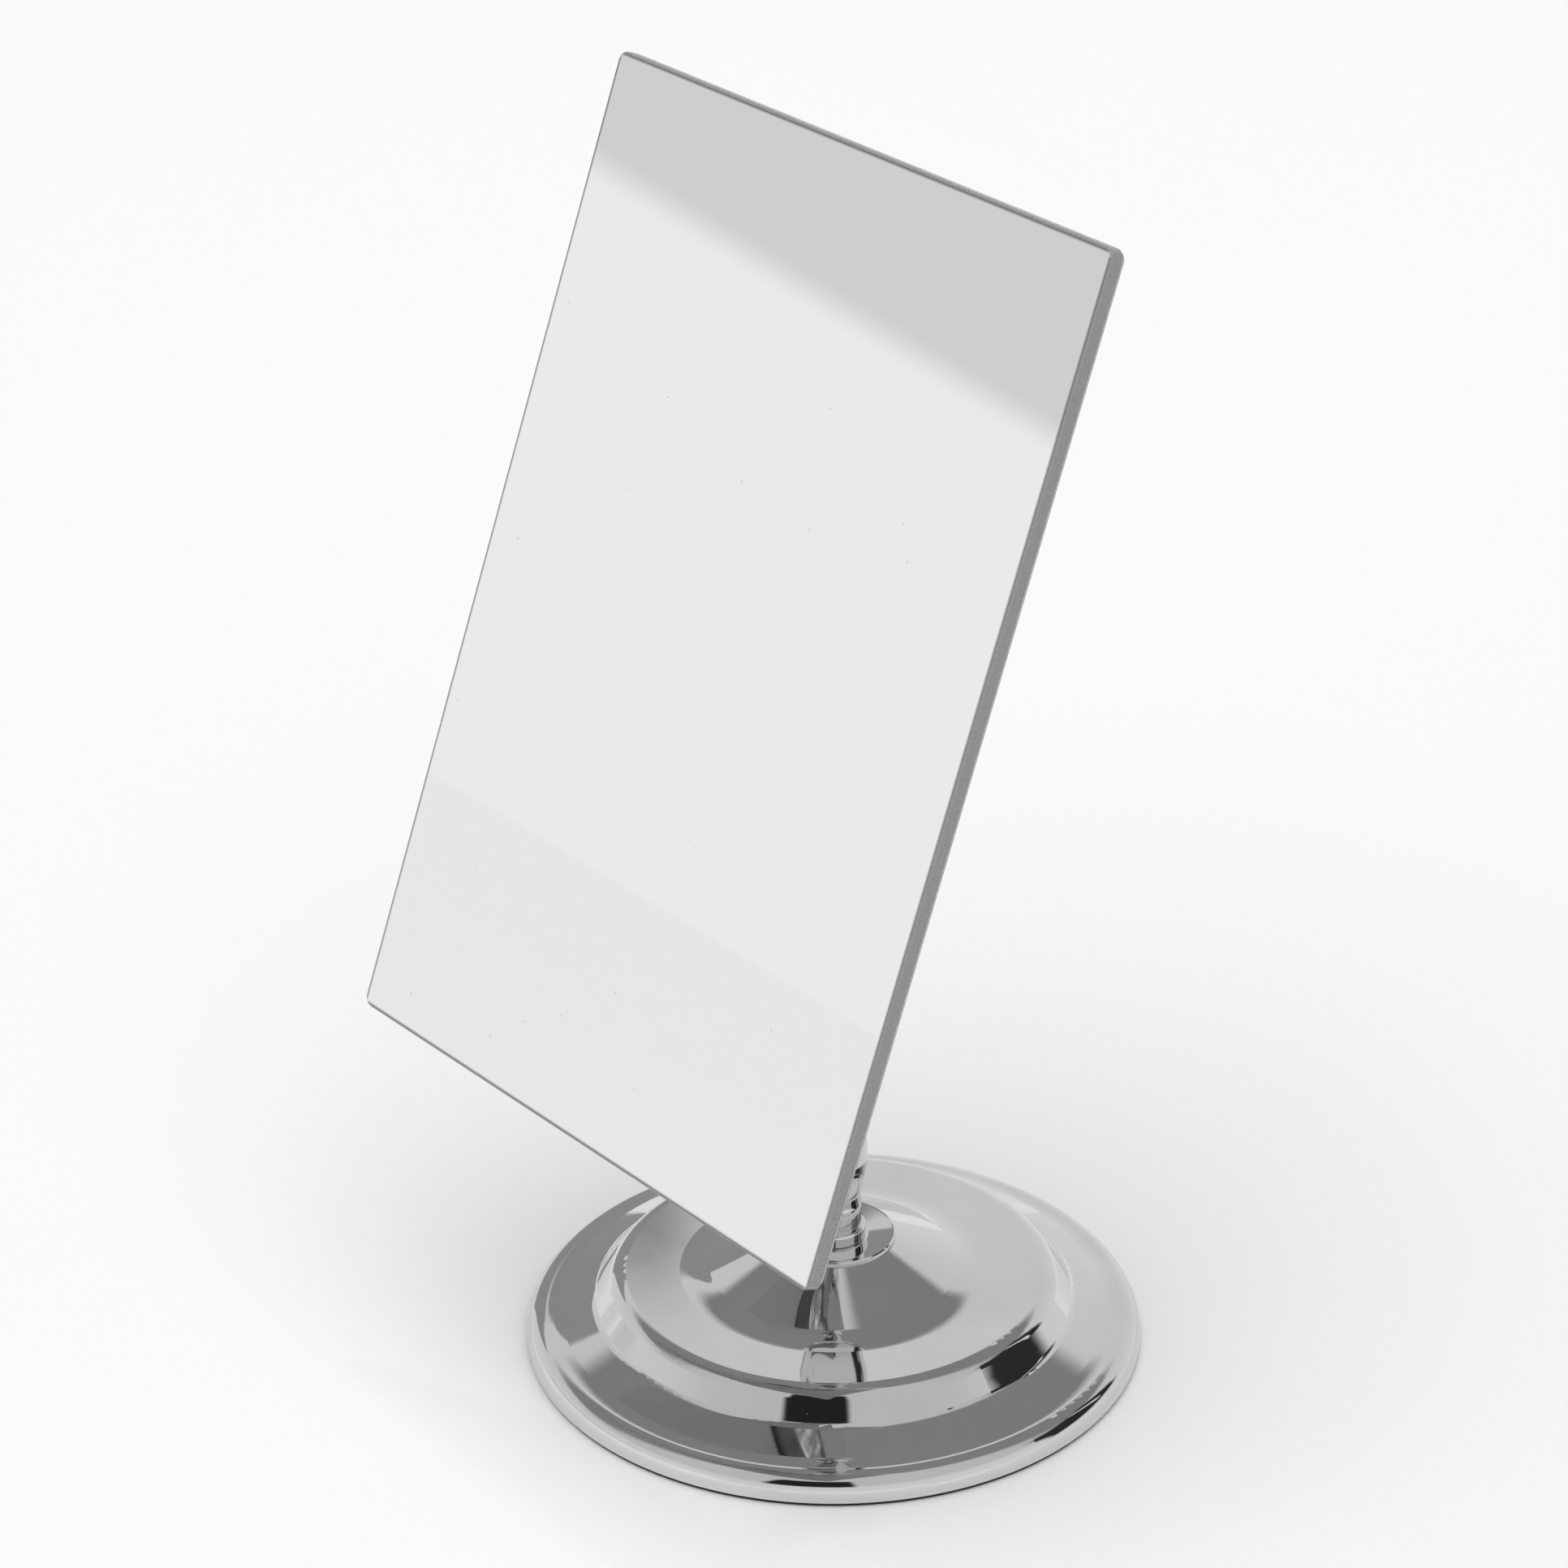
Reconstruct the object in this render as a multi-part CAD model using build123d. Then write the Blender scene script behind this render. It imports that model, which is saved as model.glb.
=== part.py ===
from build123d import *
import os

os.makedirs("parts", exist_ok=True)

# A tilting counter-top mirror on a turned chrome stem and a weighted round foot.
# Millimetres. The origin is the centre of the underside, +Z is up and the mirror faces -Y.

# ---- driving dimensions -------------------------------------------------------------------
base_radius = 76.0
sheet_thickness = 1.2
pad_thickness = 1.2
fit_gap = 0.05
free_gap = 0.3

mirror_width = 170.0
mirror_height = 240.0
glass_thickness = 3.8
mirror_tilt = 20.7
pivot_height = 183.7
pivot_to_glass = 38.3

# ---- outline of the foot, as radius and height ----------------------------------------------
rim_upright = 1.5
rim_foot_round = 1.5
bead_radius = 75.3
bead_height = 7.5
bead_round = 4.6
valley_radius = 69.0
valley_round = 9.0
crease_radius = 59.2
crease_height = 11.4
crease_round = 3.0
shoulder_radius = 53.7
plateau_height = 18.5
shoulder_round = 5.2
flare_radius = 34.2
flare_round = 16.0
neck_radius = 15.2
neck_height = 28.0
seat_round = 0.8
pad_inset = 0.8
weight_radius = 66.0
weight_step = 6.0
weight_middle_radius = 54.5
weight_middle_step = 11.0
weight_upper_radius = 48.0
pillar_radius = 14.0

# ---- stem, from the cup upwards --------------------------------------------------------------
cup_height = 29.2
cup_floor = 28.5
cup_well_radius = 8.6
collar_radius = 7.9
collar_top = 31.9
collar_round = 0.7
stem_neck_radius = 6.9
vase_radius = 8.45
vase_widest = 51.0
vase_top = 68.0
vase_neck_length = 6.0
vase_shoulder_radius = 5.4
ring_radius = 7.2
ring_top = 72.0
column_foot_radius = 5.6
column_head_radius = 5.0
column_top = 150.0
ferrule_radius = 7.6
ferrule_top = 163.0
ferrule_flare = 3.0
ferrule_shank = 10.0
ferrule_round = 0.6

# ---- fasteners and bores ---------------------------------------------------------------------
rod_radius = 3.0
rod_bore = 3.3
rod_foot = 2.4
rod_top = 148.0
nut_across_flats = 10.0
nut_thickness = 5.0
washer_thickness = 1.6
washer_radius = 9.0
well_radius = 12.0
well_depth = 8.0
column_bore = 3.7

# ---- swivel and tilt joint -------------------------------------------------------------------
spigot_radius = 4.0
bush_radius = 5.6
bush_foot = 151.0
spigot_foot = 152.0
grub_radius = 2.0
grub_nose_radius = 1.1
grub_socket_depth = 1.4
groove_height = 157.0
groove_width = 2.6
groove_radius = 3.0
thrust_thickness = 0.8
thrust_inset = 0.4
fork_base_top = 168.5
fork_radius = 8.0
fork_round = 0.8
ear_radius = 8.0
ear_inner = 4.3
ear_thickness = 3.5
ear_taper = 2.0
tongue_half = 3.4
friction_thickness = 0.8
bolt_radius = 2.5
bolt_head_radius = 4.6
bolt_head_height = 3.2
bolt_slot = 1.2
bolt_tail = 5.0
spring_thickness = 0.7
dome_nut_flats = 8.0
dome_nut_height = 7.0
dome_inset = 0.3

# ---- arm, plate and the layers behind the glass, measured forward from the pivot --------------
silver_thickness = 0.1
backing_thickness = 0.3
foam_thickness = 0.8
plate_thickness = 2.0
flange_thickness = 3.0
flange_radius = 18.0
plate_radius = 36.0
foam_radius = 34.0
arm_neck_radius = 5.2
arm_eye_radius = 7.6
arm_web_reach = 14.0
arm_neck_start = 10.5
arm_root_round = 2.5
screw_square = 9.2
screw_radius = 1.5
screw_head_radius = 2.8
screw_head_height = 1.9
screw_recess = 0.7
corner_radius = 2.5
arris = 0.5
layer_inset = 0.4

glass_back = pivot_to_glass - glass_thickness
silver_back = glass_back - silver_thickness
backing_back = silver_back - backing_thickness
foam_back = backing_back - foam_thickness
plate_back = foam_back - plate_thickness
flange_back = plate_back - flange_thickness


def disc(radius, low, high):
    """A solid cylinder about Z between two heights."""
    return Pos(0, 0, low) * Cylinder(radius, high - low, align=(Align.CENTER, Align.CENTER, Align.MIN))


def tube(radius, bore, low, high):
    """A hollow cylinder about Z between two heights."""
    return disc(radius, low, high) - disc(bore, low, high)


def hexagon(across_flats, low, high):
    """A hexagonal prism about Z between two heights."""
    flat_face = RegularPolygon(across_flats / 2, 6, major_radius=False)
    return Pos(0, 0, low) * extrude(flat_face, high - low)


def turned(outline):
    """The solid swept by a closed outline of radius and height."""
    return revolve(Plane.XZ * make_face(outline), Axis.Z)


def cross_rod(radius, start, end):
    """A solid cylinder along X through the pivot, in the joint's own frame."""
    return Pos(start, 0, 0) * Rot(Y=90) * disc(radius, 0, end - start)


def forward_disc(radius, back, front):
    """A solid cylinder along the mirror's normal, by distances forward of the pivot."""
    return Rot(X=90) * disc(radius, back, front)


def on_fork(shape):
    """Places a piece built about the pivot, without tilting it."""
    return Pos(0, 0, pivot_height) * shape


def on_mirror(shape):
    """Places a piece built about the pivot, tilted back with the mirror."""
    return Pos(0, 0, pivot_height) * Rot(X=-mirror_tilt) * shape


# ---- foot ------------------------------------------------------------------------------------
def base_pan():
    """The pressed chrome shell: beaded rim, dished flange, step, flat top and flared hub."""
    outline = FilletPolyline(
        (base_radius, pad_thickness),
        (base_radius, pad_thickness + rim_upright),
        (bead_radius, bead_height),
        (valley_radius, bead_height),
        (crease_radius, crease_height),
        (shoulder_radius, plateau_height),
        (flare_radius, plateau_height),
        (neck_radius, neck_height),
        (rod_bore, neck_height),
        radius=[
            rim_foot_round,
            bead_round,
            valley_round,
            crease_round,
            shoulder_round,
            flare_round,
            seat_round,
        ],
    )
    return turned(offset(outline, sheet_thickness, side=Side.LEFT).edges())


def base_pad():
    """The black rubber sheet under the foot."""
    return disc(base_radius - pad_inset, 0, pad_thickness)


def base_weight():
    """The cast-iron slug: three steps and a pillar that carries the hub of the shell."""
    inner_top = plateau_height - sheet_thickness
    body = disc(weight_radius, pad_thickness, weight_step)
    body += disc(weight_middle_radius, weight_step, weight_middle_step)
    body += disc(weight_upper_radius, weight_middle_step, inner_top)
    body += disc(pillar_radius, inner_top, neck_height - sheet_thickness)
    body -= disc(well_radius, pad_thickness, well_depth)
    return body - disc(rod_bore, 0, neck_height)


def rod_washer():
    """The steel washer in the well under the weight."""
    return tube(washer_radius, rod_bore, well_depth - washer_thickness, well_depth)


def rod_nut():
    """The hexagon nut that clamps the whole stem down."""
    high = well_depth - washer_thickness
    return hexagon(nut_across_flats, high - nut_thickness, high) - disc(rod_radius, 0, high)


def tie_rod():
    """The threaded rod from the nut to the ferrule, with chamfered ends."""
    rod = disc(rod_radius, rod_foot, rod_top)
    ends = rod.edges().filter_by(GeomType.CIRCLE)
    return chamfer(ends, rod_radius / 6)


# ---- stem ------------------------------------------------------------------------------------
def stem_cup():
    """The dished chrome cup between the neck of the foot and the stem."""
    lip = (cup_height - neck_height) / 4
    outline = Polyline(
        (rod_bore, neck_height),
        (neck_radius, neck_height),
        (neck_radius, cup_height - lip),
        (neck_radius - lip, cup_height),
        (neck_radius - 2 * lip, cup_height - lip / 2),
        (cup_well_radius, cup_floor),
        (rod_bore, cup_floor),
        close=True,
    )
    cup = turned(outline)
    rims = cup.edges().filter_by(GeomType.CIRCLE)
    upper = rims.filter_by_position(Axis.Z, cup_height - lip, cup_height)
    return fillet(upper, lip / 3)


def stem_collar():
    """The plain ring at the stem's foot, with rounded edges."""
    ring = tube(collar_radius, rod_bore, cup_floor, collar_top)
    rims = ring.edges().filter_by(GeomType.CIRCLE).filter_by(lambda e: e.radius > collar_radius - 0.1)
    return fillet(rims, collar_round)


def stem_vase():
    """The turned vase above the collar: a straight neck, a swelling and a slim shoulder."""
    base = collar_top
    profile = Spline(
        (stem_neck_radius, base + vase_neck_length),
        (vase_radius, vase_widest),
        (vase_shoulder_radius, vase_top),
        tangents=[(-0.15, 1), (0, 1), (-0.35, 1)],
    )
    neck = Line((stem_neck_radius, base), (stem_neck_radius, base + vase_neck_length))
    top = Polyline((vase_shoulder_radius, vase_top), (column_bore, vase_top), (column_bore, base))
    foot = Line((column_bore, base), (stem_neck_radius, base))
    return turned([*neck.edges(), *profile.edges(), *top.edges(), *foot.edges()])


def stem_ring():
    """The half-round bead between the vase and the column."""
    ring = tube(ring_radius, column_bore, vase_top, ring_top)
    rims = ring.edges().filter_by(GeomType.CIRCLE).filter_by(lambda e: e.radius > column_bore + 1)
    return fillet(rims, (ring_top - vase_top) * 0.45)


def stem_column():
    """The slim tapering tube that carries the joint."""
    outline = Polyline(
        (column_bore, ring_top),
        (column_foot_radius, ring_top),
        (column_head_radius, column_top),
        (column_bore, column_top),
        close=True,
    )
    return turned(outline)


def stem_ferrule():
    """The turned socket on top of the column: rod thread below, bush bore above."""
    neck_top = column_top + ferrule_flare
    outline = Polyline(
        (rod_radius, column_top - ferrule_shank),
        (column_bore - fit_gap, column_top - ferrule_shank),
        (column_bore - fit_gap, column_top),
        (column_head_radius, column_top),
        (ferrule_radius, neck_top),
        (ferrule_radius, ferrule_top),
        (bush_radius, ferrule_top),
        (bush_radius, bush_foot),
        (rod_radius, bush_foot),
        close=True,
    )
    body = turned(outline)
    rims = body.edges().filter_by(GeomType.CIRCLE).filter_by(lambda e: e.radius > ferrule_radius - 0.1)
    return fillet(rims, ferrule_round) - grub_bore(grub_radius)


def grub_bore(radius):
    """A radial cylinder through the back of the ferrule at the height of the groove."""
    return Pos(0, ferrule_radius + 1, groove_height) * Rot(X=90) * disc(radius, 0, ferrule_radius)


def swivel_bush():
    """The nylon bush that the swivel spigot turns in."""
    sleeve = tube(bush_radius, spigot_radius + fit_gap, bush_foot, ferrule_top)
    return sleeve - grub_bore(grub_radius)


def swivel_grub_screw():
    """The grub screw whose nose runs in the spigot's groove and keeps the head on."""
    nose_reach = ferrule_radius - groove_radius - free_gap
    screw = disc(grub_radius, 0, ferrule_radius - bush_radius)
    screw += disc(grub_nose_radius, 0, nose_reach)
    hexagon_socket = hexagon(grub_radius, 0, grub_socket_depth)
    screw -= hexagon_socket
    return Pos(0, ferrule_radius, groove_height) * Rot(X=90) * screw


def thrust_washer():
    """The nylon washer that the fork turns on."""
    top = ferrule_top + thrust_thickness
    return tube(ferrule_radius - thrust_inset, spigot_radius + fit_gap, ferrule_top, top)


# ---- swivel head -----------------------------------------------------------------------------
def swivel_fork():
    """The turning head: a grooved spigot, a round base and two ears for the tilt bolt."""
    low = ferrule_top + thrust_thickness + fit_gap
    base = disc(fork_radius, low, fork_base_top)
    base = fillet(base.edges().filter_by(GeomType.CIRCLE), fork_round)
    spigot = disc(spigot_radius, spigot_foot, low + fork_round)
    spigot -= tube(spigot_radius + 1, groove_radius, groove_height - groove_width / 2,
                   groove_height + groove_width / 2)
    spigot = chamfer(spigot.edges().group_by(Axis.Z)[0], fork_round)
    ears = fork_ear(ear_inner) + fork_ear(-ear_inner - ear_thickness)
    return base + spigot + on_fork(ears)


def fork_ear(start):
    """One ear of the fork, from its inner or outer face along X, drawn about the pivot."""
    drop = pivot_height - fork_base_top + fork_round
    plate = cross_rod(ear_radius, start, start + ear_thickness)
    web = Box(ear_thickness, 2 * ear_radius - ear_taper, drop, align=(Align.MIN, Align.CENTER, Align.MAX))
    ear = plate + Pos(start, 0, 0) * web
    ear = ear - cross_rod(bolt_radius + fit_gap / 2, start - 1, start + ear_thickness + 1)
    return ear


def friction_washers():
    """The two fibre washers that hold the mirror where it is put."""
    pair = []
    for start in (ear_inner - friction_thickness, -ear_inner):
        end = start + friction_thickness
        washer = cross_rod(ear_radius - 1, start, end) - cross_rod(bolt_radius + fit_gap, start, end)
        pair.append(on_fork(washer))
    return Compound(children=pair)


def pivot_bolt():
    """The slotted steel bolt that the mirror tilts on."""
    outer = ear_inner + ear_thickness
    shank = cross_rod(bolt_radius, -outer - bolt_tail, outer)
    head = cross_rod(bolt_head_radius, outer, outer + bolt_head_height)
    head = fillet(head.edges().filter_by(GeomType.CIRCLE).sort_by(Axis.X)[-1], bolt_head_height / 2)
    slot = Pos(outer + bolt_head_height, 0, 0) * Box(bolt_slot * 2, 2 * bolt_head_radius, bolt_slot)
    return on_fork(shank + head - slot)


def pivot_spring_washer():
    """The dished spring washer under the dome nut."""
    inner = -ear_inner - ear_thickness
    cone = Cone(bolt_head_radius, bolt_head_radius - 1, spring_thickness)
    washer = Pos(inner - spring_thickness / 2, 0, 0) * Rot(Y=-90) * cone
    return on_fork(washer - cross_rod(bolt_radius + fit_gap, inner - spring_thickness, inner))


def pivot_nut():
    """The chrome dome nut on the end of the tilt bolt."""
    start = ear_inner + ear_thickness + spring_thickness
    flats = hexagon(dome_nut_flats, 0, dome_nut_height / 2)
    dome = Pos(0, 0, dome_nut_height / 2) * Sphere(dome_nut_flats / 2 - dome_inset)
    dome = split(dome, Plane.XY.offset(dome_nut_height / 2))
    nut = flats + dome - disc(bolt_radius, 0, bolt_tail - spring_thickness)
    return on_fork(Pos(-start, 0, 0) * Rot(Y=-90) * nut)


# ---- tilting side ----------------------------------------------------------------------------
def tilt_arm():
    """The arm behind the mirror: an eye on the bolt, a round neck and a screwed flange."""
    eye = cross_rod(arm_eye_radius, -tongue_half, tongue_half)
    middle = (Align.CENTER, Align.MAX, Align.CENTER)
    web = Box(2 * tongue_half, arm_web_reach, 2 * arm_neck_radius, align=middle)
    neck = forward_disc(arm_neck_radius, arm_neck_start, flange_back)
    neck = fillet(neck.edges().filter_by(GeomType.CIRCLE).sort_by(Axis.Y)[-1], 1)
    flange = forward_disc(flange_radius, flange_back, plate_back)
    flange = fillet(flange.edges().filter_by(GeomType.CIRCLE).sort_by(Axis.Y)[-1], 1)
    arm = eye + web + neck + flange
    root = arm.edges().filter_by(GeomType.CIRCLE).filter_by(
        lambda e: abs(e.radius - arm_neck_radius) < 0.01 and abs(e.center().Y + flange_back) < 0.01
    )
    arm = fillet(root, arm_root_round)
    arm -= cross_rod(bolt_radius + fit_gap, -tongue_half, tongue_half)
    for centre in screw_centres():
        arm -= centre * forward_disc(screw_radius + fit_gap, flange_back, plate_back)
    return on_mirror(arm)


def screw_centres():
    """Where the four flange screws stand, across the mirror's normal."""
    return [Pos(x, 0, z) for x in (-screw_square, screw_square) for z in (-screw_square, screw_square)]


def flange_screws():
    """The four pan-head screws that hold the flange to the plate."""
    screws = []
    for centre in screw_centres():
        head_back = flange_back - screw_head_height
        head = forward_disc(screw_head_radius, head_back, flange_back)
        head = fillet(head.edges().filter_by(GeomType.CIRCLE).sort_by(Axis.Y)[-1], screw_head_height / 2)
        for turn in (0, 90):
            recess = Box(screw_recess * 3, screw_head_height, screw_recess)
            head -= Pos(0, -head_back, 0) * Rot(Y=turn) * recess
        shank = forward_disc(screw_radius, flange_back, foam_back)
        screws.append(on_mirror(centre * (head + shank)))
    return Compound(children=screws)


def mounting_plate():
    """The round steel plate glued behind the mirror, tapped for the screws."""
    plate = forward_disc(plate_radius, plate_back, foam_back)
    plate = chamfer(plate.edges().filter_by(GeomType.CIRCLE).sort_by(Axis.Y)[-1], plate_thickness / 4)
    for centre in screw_centres():
        plate -= centre * forward_disc(screw_radius, plate_back, foam_back)
    return on_mirror(plate)


def adhesive_pad():
    """The black foam tape between the plate and the backing."""
    return on_mirror(forward_disc(foam_radius, foam_back, backing_back))


def pane(inset, back, front, rounding):
    """A rounded rectangle of the mirror's size less an inset, between two distances forward."""
    width = mirror_width - 2 * inset
    height = mirror_height - 2 * inset
    outline = RectangleRounded(width, height, rounding)
    return Rot(X=90) * Pos(0, 0, back) * extrude(outline, front - back)


def mirror_backing():
    """The dark grey safety backing."""
    return on_mirror(pane(layer_inset, backing_back, silver_back, corner_radius))


def silver_layer():
    """The silvering behind the glass."""
    return on_mirror(pane(layer_inset, silver_back, glass_back, corner_radius))


def mirror_glass():
    """The clear pane, with rounded corners and ground arrises on both faces."""
    glass = pane(0, glass_back, pivot_to_glass, corner_radius)
    faces = glass.faces().sort_by(Axis.Y)
    return on_mirror(chamfer(faces[0].edges() + faces[-1].edges(), arris))


pieces = [
    base_pan,
    base_pad,
    base_weight,
    rod_washer,
    rod_nut,
    tie_rod,
    stem_cup,
    stem_collar,
    stem_vase,
    stem_ring,
    stem_column,
    stem_ferrule,
    swivel_bush,
    swivel_grub_screw,
    thrust_washer,
    swivel_fork,
    friction_washers,
    pivot_bolt,
    pivot_spring_washer,
    pivot_nut,
    tilt_arm,
    flange_screws,
    mounting_plate,
    adhesive_pad,
    mirror_backing,
    silver_layer,
    mirror_glass,
]

for piece in pieces:
    export_step(piece(), f"parts/{piece.__name__}.step")
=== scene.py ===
import math

import bpy
from mathutils import Matrix, Vector

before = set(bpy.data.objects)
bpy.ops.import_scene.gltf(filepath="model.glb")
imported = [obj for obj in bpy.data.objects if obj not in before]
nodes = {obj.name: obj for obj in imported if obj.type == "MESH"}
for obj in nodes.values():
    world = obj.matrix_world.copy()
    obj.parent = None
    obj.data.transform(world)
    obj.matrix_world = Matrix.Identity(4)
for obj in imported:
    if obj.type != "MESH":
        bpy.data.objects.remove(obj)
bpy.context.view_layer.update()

scene = bpy.context.scene

# ---- camera ----------------------------------------------------------------------------------
AZIMUTH = math.radians(50.24)
ELEVATION = math.radians(33.16)
ROLL = math.radians(-0.05)
DISTANCE = 1.2696
SENSOR_WIDTH = 36.0
LENS = 116.582
# where the origin stands in the view, as slopes to the right of and above the middle
ORIGIN_RIGHT = 0.009766
ORIGIN_UP = -0.107582

# ---- pane ------------------------------------------------------------------------------------
PANE_LEAN = math.radians(20.7)
PANE_NORMAL = Vector((0.0, -math.cos(PANE_LEAN), math.sin(PANE_LEAN)))
PANE_UP = Vector((0.0, math.sin(PANE_LEAN), math.cos(PANE_LEAN)))
# a surface whose normal is nearer to the pane's normal than this cosine is a polished face
FACE_COSINE = 0.97
# how far in from the pane's outline the painted shade of the dark rim begins
RIM_SHADE_WIDTH = 0.0013

# ---- lights ----------------------------------------------------------------------------------
OVERHEAD_ENERGY = 1.9
OVERHEAD_ANGLE = math.radians(70)
OVERHEAD_TURN = (math.radians(12), math.radians(10), 0)
SPARKLE_POWER = 3.0
SPARKLE_RADIUS = 0.012
SPARKLE_RISE = math.radians(71)
SPARKLE_DISTANCE = 1.5
FLOOR_HALF = 45.0
BACKDROP = 0.93


def make_camera():
    """A camera at the photograph's angle, aimed so that the foot stands low in the frame."""
    data = bpy.data.cameras.new("camera")
    data.sensor_width = SENSOR_WIDTH
    data.lens = LENS
    data.clip_start = 0.02
    data.clip_end = 2 * FLOOR_HALF + 10
    camera = bpy.data.objects.new("camera", data)
    scene.collection.objects.link(camera)
    level = math.cos(ELEVATION)
    away = Vector((math.sin(AZIMUTH) * level, -math.cos(AZIMUTH) * level, math.sin(ELEVATION)))
    facing = (-away).to_track_quat("-Z", "Y").to_matrix()
    towards = Vector((ORIGIN_RIGHT, ORIGIN_UP, -1)).normalized()
    aim = Vector((0, 0, -1)).rotation_difference(towards).to_matrix()
    turn = facing @ Matrix.Rotation(ROLL, 3, "Z") @ aim.transposed()
    camera.matrix_world = Matrix.Translation(away * DISTANCE) @ turn.to_4x4()
    scene.camera = camera


# ---- node helpers ----------------------------------------------------------------------------
class Graph:
    """A node tree being wired up, with short ways to add nodes to it."""

    def __init__(self, owner):
        owner.use_nodes = True
        self.tree = owner.node_tree
        self.coords = self.tree.nodes.new("ShaderNodeTexCoord")

    def set(self, node, sockets):
        for name, value in sockets.items():
            name = name.replace("_", " ") if isinstance(name, str) else name
            if isinstance(value, bpy.types.NodeSocket):
                self.tree.links.new(value, node.inputs[name])
            else:
                node.inputs[name].default_value = value

    def add(self, kind, sockets=None, **settings):
        node = self.tree.nodes.new("ShaderNode" + kind)
        for name, value in settings.items():
            setattr(node, name, value)
        self.set(node, sockets or {})
        return node

    def math(self, operation, a, b=0.0, clamp=False):
        node = self.tree.nodes.new("ShaderNodeMath")
        node.operation = operation
        node.use_clamp = clamp
        for socket, value in zip(node.inputs, (a, b)):
            if isinstance(value, bpy.types.NodeSocket):
                self.tree.links.new(value, socket)
            else:
                socket.default_value = value
        return node.outputs[0]

    def ramp(self, value, low, high, to_low, to_high, smooth=False):
        sockets = {"Value": value, "From Min": low, "From Max": high, "To Min": to_low, "To Max": to_high}
        kind = "SMOOTHSTEP" if smooth else "LINEAR"
        return self.add("MapRange", sockets, interpolation_type=kind).outputs[0]


class Shader(Graph):
    """A material being wired up round its Principled shader."""

    def __init__(self, name, **sockets):
        self.material = bpy.data.materials.new(name)
        super().__init__(self.material)
        self.bsdf = self.tree.nodes["Principled BSDF"]
        self.set(self.bsdf, sockets)

    def noise(self, scale, detail=3.0, roughness=0.5, stretch=(1, 1, 1)):
        at = self.add("Mapping", {"Vector": self.coords.outputs["Object"], "Scale": stretch})
        sockets = {"Vector": at.outputs[0], "Scale": scale, "Detail": detail, "Roughness": roughness}
        return self.add("TexNoise", sockets).outputs["Fac"]

    def rings(self, pitch):
        """Fine turning marks: noise that depends only on the distance from the Z axis and the height."""
        split = self.add("SeparateXYZ", {"Vector": self.coords.outputs["Object"]})
        flat = self.add("CombineXYZ", {"X": split.outputs["X"], "Y": split.outputs["Y"]})
        radius = self.add("VectorMath", {"Vector": flat.outputs[0]}, operation="LENGTH").outputs["Value"]
        along = self.math("ADD", radius, split.outputs["Z"])
        sockets = {"W": along, "Scale": 1.0 / pitch, "Detail": 2.0}
        return self.add("TexNoise", sockets, noise_dimensions="1D").outputs["Fac"]

    def specks(self, scale, size):
        """Scattered specks of dust, 1 on a speck and 0 elsewhere."""
        cells = self.add("TexVoronoi", {"Vector": self.coords.outputs["Object"], "Scale": scale})
        inside = self.math("LESS_THAN", cells.outputs["Distance"], size)
        chance = self.add("SeparateColor", {"Color": cells.outputs["Color"]}).outputs[0]
        return self.math("MULTIPLY", inside, self.math("GREATER_THAN", chance, 0.72))

    def along(self, vector, direction):
        """How far a vector reaches along a fixed direction."""
        dot = self.add("VectorMath", {0: vector}, operation="DOT_PRODUCT")
        dot.inputs[1].default_value = direction
        return dot.outputs["Value"]

    def blend(self, fac, a, b):
        node = self.tree.nodes.new("ShaderNodeMix")
        node.data_type = "RGBA"
        self.tree.links.new(fac, node.inputs["Factor"])
        for socket, value in zip((node.inputs[6], node.inputs[7]), (a, b)):
            if isinstance(value, bpy.types.NodeSocket):
                self.tree.links.new(value, socket)
            else:
                socket.default_value = (*value, 1.0)
        return node.outputs[2]

    def bump(self, height, depth, strength=1.0, under=None):
        sockets = {"Height": height, "Distance": depth, "Strength": strength}
        if under is not None:
            sockets["Normal"] = under
        return self.add("Bump", sockets).outputs[0]

    def upward(self):
        """1 where the surface faces up, 0 where it is upright or faces down."""
        normal = self.add("SeparateXYZ", {"Vector": self.coords.outputs["Normal"]}).outputs["Z"]
        return self.ramp(normal, 0.2, 0.95, 0.0, 1.0)


# ---- materials -------------------------------------------------------------------------------
def chrome(name, turned):
    """Bright plating with turning marks, cloudy wiping marks and a little dust on what faces up."""
    s = Shader(name, Metallic=1.0)
    cloud = s.noise(38.0, 4.0, 0.6)
    wipe = s.noise(160.0, 2.0, 0.5, stretch=(1.0, 0.25, 0.6))
    dust = s.math("MULTIPLY", s.specks(420.0, 0.045), s.upward())
    tone = s.blend(s.ramp(cloud, 0.3, 0.7, 0, 1), (0.66, 0.665, 0.67), (0.71, 0.715, 0.72))
    s.set(s.bsdf, {"Base Color": s.blend(dust, tone, (0.55, 0.54, 0.52))})
    rough = s.math("ADD", s.ramp(cloud, 0.35, 0.75, 0.022, 0.055), s.ramp(wipe, 0.5, 0.8, 0.0, 0.02))
    s.set(s.bsdf, {"Roughness": s.math("MAXIMUM", rough, s.math("MULTIPLY", dust, 0.5))})
    s.set(s.bsdf, {"Metallic": s.math("SUBTRACT", 1.0, s.math("MULTIPLY", dust, 0.6))})
    marks = s.rings(0.00035) if turned else s.noise(900.0, 3.0)
    fine = s.bump(marks, 0.000002, 0.35)
    s.set(s.bsdf, {"Normal": s.bump(s.noise(24.0, 1.0), 0.00005, 0.25, fine)})
    return s.material


def zinc():
    s = Shader("zinc_plated_steel", Metallic=1.0)
    grain = s.noise(1400.0, 3.0)
    patch = s.noise(220.0, 2.0)
    s.set(s.bsdf, {"Base Color": s.blend(patch, (0.50, 0.50, 0.51), (0.70, 0.70, 0.69))})
    s.set(s.bsdf, {"Roughness": s.ramp(grain, 0.3, 0.7, 0.24, 0.42)})
    s.set(s.bsdf, {"Normal": s.bump(grain, 0.00002, 0.4)})
    return s.material


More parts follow.
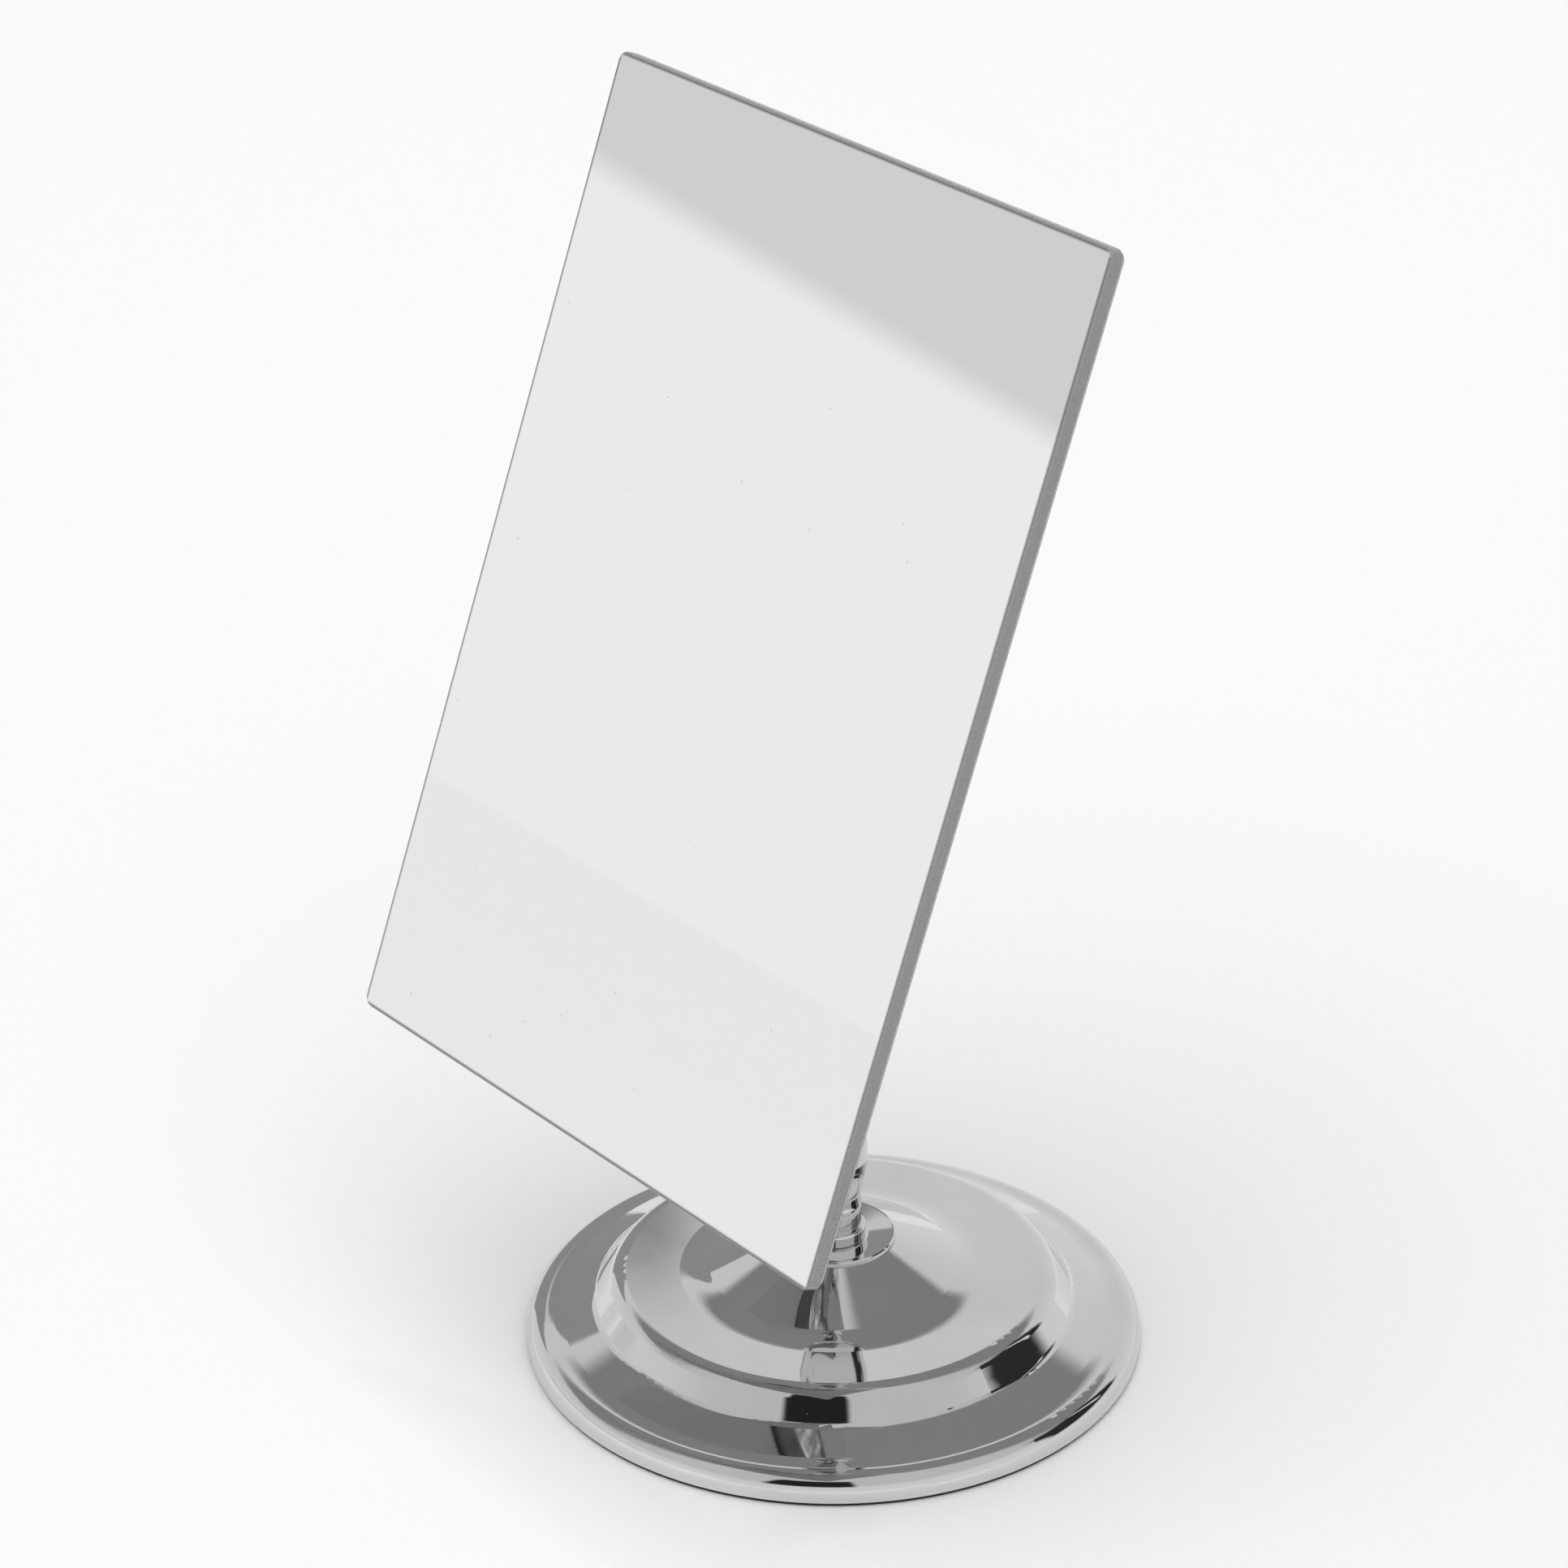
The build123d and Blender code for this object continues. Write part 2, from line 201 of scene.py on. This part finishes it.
def cast_iron():
    s = Shader("cast_iron", Metallic=0.6)
    coarse, fine = s.noise(500.0, 6.0, 0.65), s.noise(2600.0, 2.0)
    s.set(s.bsdf, {"Base Color": s.blend(coarse, (0.045, 0.045, 0.048), (0.13, 0.125, 0.12))})
    s.set(s.bsdf, {"Roughness": s.ramp(fine, 0.3, 0.7, 0.55, 0.8)})
    s.set(s.bsdf, {"Normal": s.bump(coarse, 0.0004, 0.7)})
    return s.material


def rubber():
    s = Shader("pad_rubber")
    grain, worn = s.noise(1800.0, 3.0), s.noise(70.0, 3.0)
    s.set(s.bsdf, {"Base Color": s.blend(worn, (0.010, 0.010, 0.011), (0.028, 0.028, 0.028))})
    s.set(s.bsdf, {"Roughness": s.ramp(worn, 0.3, 0.7, 0.65, 0.85)})
    s.set(s.bsdf, {"Normal": s.bump(grain, 0.0001, 0.5)})
    return s.material


def nylon():
    s = Shader("nylon", Subsurface_Weight=0.15)
    s.bsdf.inputs["Subsurface Scale"].default_value = 0.001
    patch = s.noise(300.0, 3.0)
    s.set(s.bsdf, {"Base Color": s.blend(patch, (0.74, 0.73, 0.68), (0.84, 0.83, 0.79))})
    s.set(s.bsdf, {"Roughness": s.ramp(patch, 0.3, 0.7, 0.35, 0.5)})
    s.set(s.bsdf, {"Normal": s.bump(s.noise(2500.0), 0.00003, 0.4)})
    return s.material


def fibre():
    s = Shader("fibre_washer")
    strands = s.noise(1500.0, 5.0, 0.7, stretch=(1, 1, 0.2))
    s.set(s.bsdf, {"Base Color": s.blend(strands, (0.16, 0.05, 0.035), (0.30, 0.12, 0.08))})
    s.set(s.bsdf, {"Roughness": s.ramp(strands, 0.3, 0.7, 0.7, 0.9)})
    s.set(s.bsdf, {"Normal": s.bump(strands, 0.00008, 0.6)})
    return s.material


def powder_coat():
    """Satin black coating with orange peel and rubbed patches."""
    s = Shader("plate_powder_coat", Specular_IOR_Level=0.5)
    peel, rubbed = s.noise(900.0, 2.0), s.noise(45.0, 4.0, 0.6)
    s.set(s.bsdf, {"Base Color": s.blend(rubbed, (0.030, 0.030, 0.032), (0.060, 0.060, 0.062))})
    s.set(s.bsdf, {"Roughness": s.ramp(rubbed, 0.3, 0.7, 0.36, 0.52)})
    s.set(s.bsdf, {"Normal": s.bump(peel, 0.00006, 0.6)})
    return s.material


def foam():
    s = Shader("foam_tape")
    cells = s.add("TexVoronoi", {"Vector": s.coords.outputs["Object"], "Scale": 1600.0}).outputs["Distance"]
    s.set(s.bsdf, {"Base Color": s.blend(cells, (0.012, 0.012, 0.012), (0.05, 0.05, 0.05))})
    s.set(s.bsdf, {"Roughness": s.ramp(cells, 0.0, 0.8, 0.75, 0.95)})
    s.set(s.bsdf, {"Normal": s.bump(cells, 0.0002, 0.8)})
    return s.material


def backing_paint():
    """Grey paint on the back of the mirror: rolled on, a little uneven, with dust and scuffs."""
    s = Shader("mirror_back_paint")
    roll = s.noise(420.0, 3.0, 0.6, stretch=(1.0, 1.0, 0.35))
    cloud = s.noise(14.0, 5.0, 0.6)
    scuff = s.ramp(s.noise(60.0, 6.0, 0.75, stretch=(1.0, 1.0, 0.12)), 0.62, 0.72, 0.0, 0.5)
    tone = s.blend(s.ramp(cloud, 0.3, 0.7, 0, 1), (0.26, 0.263, 0.268), (0.32, 0.323, 0.328))
    tone = s.blend(scuff, tone, (0.40, 0.40, 0.40))
    s.set(s.bsdf, {"Base Color": s.blend(s.specks(260.0, 0.10), tone, (0.42, 0.41, 0.40))})
    s.set(s.bsdf, {"Roughness": s.ramp(cloud, 0.3, 0.7, 0.42, 0.62)})
    s.set(s.bsdf, {"Normal": s.bump(roll, 0.00012, 0.35)})
    return s.material


def silvering():
    s = Shader("silvering", Metallic=1.0)
    cloud = s.noise(6.0, 3.0)
    s.set(s.bsdf, {"Base Color": s.blend(cloud, (0.925, 0.93, 0.925), (0.94, 0.945, 0.94))})
    s.set(s.bsdf, {"Roughness": s.ramp(cloud, 0.3, 0.7, 0.004, 0.012)})
    return s.material


def pane_rim_shade_mask(s):
    """Mask for the painted rim shade: 1 within the rim round the pane's outline and 0 inside it, measured
    on the pane's own mesh.
    """
    points = [vertex.co for vertex in nodes["mirror_glass"].data.vertices]
    heights = [point.dot(PANE_UP) for point in points]
    middle = (max(heights) + min(heights)) / 2
    half_height = (max(heights) - min(heights)) / 2
    half_width = max(point.x for point in points)
    place = s.coords.outputs["Object"]
    across = s.math("ABSOLUTE", s.along(place, Vector((1, 0, 0))))
    rise = s.math("ABSOLUTE", s.math("SUBTRACT", s.along(place, PANE_UP), middle))
    side = s.ramp(across, half_width - RIM_SHADE_WIDTH, half_width - RIM_SHADE_WIDTH / 2, 0.0, 1.0)
    end = s.ramp(rise, half_height - RIM_SHADE_WIDTH, half_height - RIM_SHADE_WIDTH / 2, 0.0, 1.0)
    return s.math("MAXIMUM", side, end)


def glass():
    """The mirror pane: smeared, dusty faces with painted shade in a dark rim round their outline, and
    ground grey-green edges.
    """
    s = Shader("mirror_glass", IOR=1.52)
    facing = s.along(s.coords.outputs["Normal"], PANE_NORMAL)
    edge = s.math("LESS_THAN", s.math("ABSOLUTE", facing), FACE_COSINE)
    face = s.math("SUBTRACT", 1.0, edge)
    grind = s.noise(1300.0, 3.0, 0.6)
    smear = s.ramp(s.noise(26.0, 5.0, 0.6, stretch=(1.0, 1.0, 0.35)), 0.56, 0.70, 0.0, 1.0)
    dust = s.math("MULTIPLY", s.specks(190.0, 0.055), face)
    rim = pane_rim_shade_mask(s)
    # painted shade: the silver colour of the faces darkens to dark grey in the rim round the pane's outline
    silver_and_rim_shade = s.blend(rim, (0.850, 0.855, 0.852), (0.20, 0.21, 0.205))
    tint = s.blend(edge, silver_and_rim_shade, (0.44, 0.46, 0.45))
    s.set(s.bsdf, {"Base Color": s.blend(dust, tint, (0.60, 0.60, 0.59))})
    polished = s.ramp(smear, 0.0, 1.0, 0.0, 0.035)
    ground = s.ramp(grind, 0.3, 0.7, 0.22, 0.40)
    rough = s.math("ADD", s.math("MULTIPLY", polished, face), s.math("MULTIPLY", ground, edge))
    s.set(s.bsdf, {"Roughness": s.math("MAXIMUM", rough, s.math("MULTIPLY", dust, 0.7))})
    bare = s.math("SUBTRACT", 1.0, s.math("MULTIPLY", dust, 0.9))
    s.set(s.bsdf, {"Metallic": s.math("MULTIPLY", face, bare)})
    s.set(s.bsdf, {"Transmission Weight": s.math("MULTIPLY", edge, 0.45)})
    s.set(s.bsdf, {"Normal": s.bump(s.math("MULTIPLY", grind, edge), 0.00008, 0.5)})
    return s.material


def finishes():
    plated, fitting = chrome("chrome_turned", True), chrome("chrome_fittings", False)
    steel, plastic = zinc(), nylon()
    looks = {
        "base_pad": rubber(),
        "base_weight": cast_iron(),
        "swivel_bush": plastic,
        "thrust_washer": plastic,
        "friction_washers": fibre(),
        "mounting_plate": powder_coat(),
        "adhesive_pad": foam(),
        "mirror_backing": backing_paint(),
        "silver_layer": silvering(),
        "mirror_glass": glass(),
    }
    turnings = ("stem_cup", "stem_collar", "stem_vase", "stem_ring", "stem_column", "stem_ferrule")
    for name in ("base_pan", *turnings):
        looks[name] = plated
    for name in ("swivel_fork", "tilt_arm", "pivot_nut"):
        looks[name] = fitting
    for name, node in nodes.items():
        node.data.materials[0] = looks.get(name, steel)


# ---- studio ----------------------------------------------------------------------------------
def make_floor():
    """A plain pale floor, part of the stage."""
    half = FLOOR_HALF
    corners = [(-half, -half, 0), (half, -half, 0), (half, half, 0), (-half, half, 0)]
    mesh = bpy.data.meshes.new("floor")
    mesh.from_pydata(corners, [], [(0, 1, 2, 3)])
    floor = bpy.data.objects.new("floor", mesh)
    scene.collection.objects.link(floor)
    s = Shader("floor_paper")
    grain = s.noise(700.0, 3.0)
    s.set(s.bsdf, {"Base Color": s.blend(grain, (0.84, 0.84, 0.84), (0.88, 0.88, 0.88))})
    s.set(s.bsdf, {"Roughness": s.ramp(grain, 0.3, 0.7, 0.75, 0.9)})
    s.set(s.bsdf, {"Normal": s.bump(grain, 0.0001, 0.2)})
    mesh.materials.append(s.material)


class Sky(Graph):
    """The room round the set, painted by azimuth and elevation.

    Azimuth 0 is straight behind the object as the camera sees it, and 90 is to its right.
    """

    def __init__(self, world):
        super().__init__(world)
        way = {"Vector": self.coords.outputs["Generated"]}
        turned = self.add("VectorRotate", way, rotation_type="Z_AXIS")
        turned.inputs["Angle"].default_value = -AZIMUTH
        split = self.add("SeparateXYZ", {"Vector": turned.outputs[0]})
        heading = self.math("ARCTAN2", split.outputs["X"], split.outputs["Y"])
        rise = self.math("ARCSINE", split.outputs["Z"])
        self.azimuth = self.math("MULTIPLY", heading, 180 / math.pi)
        self.elevation = self.math("MULTIPLY", rise, 180 / math.pi)
        self.level = None

    def window(self, value, centre, half, soft):
        away = self.math("ABSOLUTE", self.math("SUBTRACT", value, centre))
        return self.ramp(away, half - soft / 2, half + soft / 2, 1.0, 0.0, smooth=True)

    def patch(self, level, azimuth, elevation, soft=(4.0, 4.0)):
        """Paints a soft-edged rectangle of the room; azimuth and elevation are (from, to)."""
        half_turn = (azimuth[1] - azimuth[0]) / 2
        half_rise = (elevation[1] - elevation[0]) / 2
        turn = self.math("SUBTRACT", self.azimuth, sum(azimuth) / 2)
        turn = self.math("WRAP", turn, 180.0)
        turn.node.inputs[2].default_value = -180.0
        across = self.window(turn, 0.0, half_turn, soft[0])
        upright = self.window(self.elevation, sum(elevation) / 2, half_rise, soft[1])
        cover = self.math("MULTIPLY", across, upright)
        step = self.math("MULTIPLY", cover, self.math("SUBTRACT", level, self.level))
        self.level = self.math("ADD", self.level, step)


def make_world():
    world = bpy.data.worlds.new("studio")
    scene.world = world
    sky = Sky(world)
    back = sky.tree.nodes["Background"]
    sky.level = sky.ramp(sky.elevation, 0.0, 60.0, 0.82, 0.70, smooth=True)
    # the ceiling on the camera's side, and straight overhead
    sky.patch(0.64, (60, 300), (30, 130), (30, 14))
    sky.patch(0.64, (-180, 180), (83, 95), (4, 5))
    # the dim ceiling behind the object
    sky.patch(0.27, (-80, 80), (38.5, 81), (30, 6))
    # a tall dim shape at the back left
    sky.patch(0.33, (-33, -1.9), (-8, 32.6), (1.2, 1.2))
    # a dark shape at the right, with a pale gap in it
    sky.patch(0.03, (60, 98), (12, 42), (5, 5))
    sky.patch(0.80, (68, 71), (20, 41), (1, 3))
    # a plain dark patch on the camera's side
    sky.patch(0.02, (-188, -154), (28, 60), (4, 6))
    # what the mirror shows: a greyer wall above a white card
    sky.patch(0.72, (-110, -60), (5, 14), (6, 3))
    sky.patch(0.96, (-140, -55), (-15, 6.7), (6, 0.5))
    seen = sky.add("LightPath").outputs["Is Camera Ray"]
    room = sky.math("MULTIPLY", sky.level, sky.math("SUBTRACT", 1.0, seen))
    show = sky.math("ADD", room, sky.math("MULTIPLY", seen, BACKDROP))
    grey = sky.add("CombineColor", {"Red": show, "Green": show, "Blue": show})
    sky.set(back, {"Color": grey.outputs[0], "Strength": 1.0})


def make_lights():
    """A very soft light overhead that lifts the floor, and a small lamp high behind the object."""
    data = bpy.data.lights.new("overhead", "SUN")
    data.energy = OVERHEAD_ENERGY
    data.angle = OVERHEAD_ANGLE
    overhead = bpy.data.objects.new("overhead", data)
    overhead.rotation_euler = OVERHEAD_TURN
    overhead.visible_glossy = False
    overhead.visible_transmission = False
    scene.collection.objects.link(overhead)
    data = bpy.data.lights.new("sparkle", "POINT")
    data.energy = SPARKLE_POWER
    data.shadow_soft_size = SPARKLE_RADIUS
    sparkle = bpy.data.objects.new("sparkle", data)
    back = SPARKLE_DISTANCE * math.cos(SPARKLE_RISE)
    height = SPARKLE_DISTANCE * math.sin(SPARKLE_RISE)
    sparkle.location = (-back * math.sin(AZIMUTH), back * math.cos(AZIMUTH), height)
    scene.collection.objects.link(sparkle)


make_camera()
finishes()
make_floor()
make_world()
make_lights()
scene.view_settings.view_transform = "Standard"
